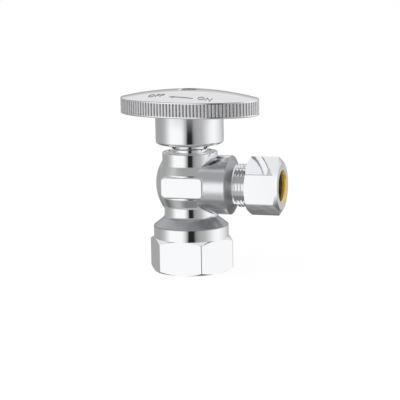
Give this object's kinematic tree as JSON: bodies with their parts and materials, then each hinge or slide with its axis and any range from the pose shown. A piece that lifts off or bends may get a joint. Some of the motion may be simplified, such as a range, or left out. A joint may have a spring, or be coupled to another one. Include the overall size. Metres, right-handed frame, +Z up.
{
  "type": "angle stop valve",
  "caption": "Angle stop valve with a threaded pipe inlet below, a compression tube outlet at its side and an oval handle that screws a rubber washer off its seat.",
  "frame": {"origin": "on the axis of the inlet and the stem, in the plane of the inlet's end face", "axes": "+Z up along the stem, from the inlet to the handle; +X out of the outlet; +Y to the back"},
  "size_m": [0.0559, 0.0312, 0.0606],
  "materials": {
    "chrome": "mirror-bright chrome plate",
    "brass": "machined, satin",
    "rubber": "matte black",
    "packing": "waxy white",
    "fibre": "matte fibre",
    "steel": "dark plated steel"
  },
  "bodies": {
    "housing": {"valve_body": "chrome", "bonnet_gasket": "fibre", "bonnet": "brass", "packing_washer": "brass", "packing_ring_1": "packing", "packing_ring_2": "packing", "gland_follower": "brass", "packing_nut": "brass"},
    "seat_disc": {"disc_holder": "brass", "seat_washer": "rubber", "seat_washer_screw": "brass"},
    "spindle": {"stem": "brass", "handle": "chrome", "handle_screw": "steel", "lock_washer": "steel"},
    "sleeve": {"compression_sleeve": "brass"},
    "outlet_nut": {"compression_nut": "chrome"}
  },
  "joints": [
    {"name": "disc_lift", "type": "slide", "parent": "housing", "child": "seat_disc", "axis": [0, 0, 1], "range_m": [0, 0.0045]},
    {"name": "handle_turn", "type": "hinge", "parent": "seat_disc", "child": "spindle", "pos_m": [0, 0, 0.055], "axis": [0, 0, 1], "range_deg": [0, 1080]},
    {"name": "sleeve_travel", "type": "slide", "parent": "housing", "child": "sleeve", "axis": [1, 0, 0], "range_m": [-0.0003, 0.0032]},
    {"name": "nut_turn", "type": "hinge", "parent": "sleeve", "child": "outlet_nut", "pos_m": [0.026, 0, 0.0288], "axis": [1, 0, 0], "range_deg": [-90, 1080]}
  ],
  "couplings": [
    {"joint": "disc_lift", "follows": "handle_turn", "m_per_rad": 0.00023873},
    {"joint": "sleeve_travel", "follows": "nut_turn", "m_per_rad": 0.00016844}
  ]
}
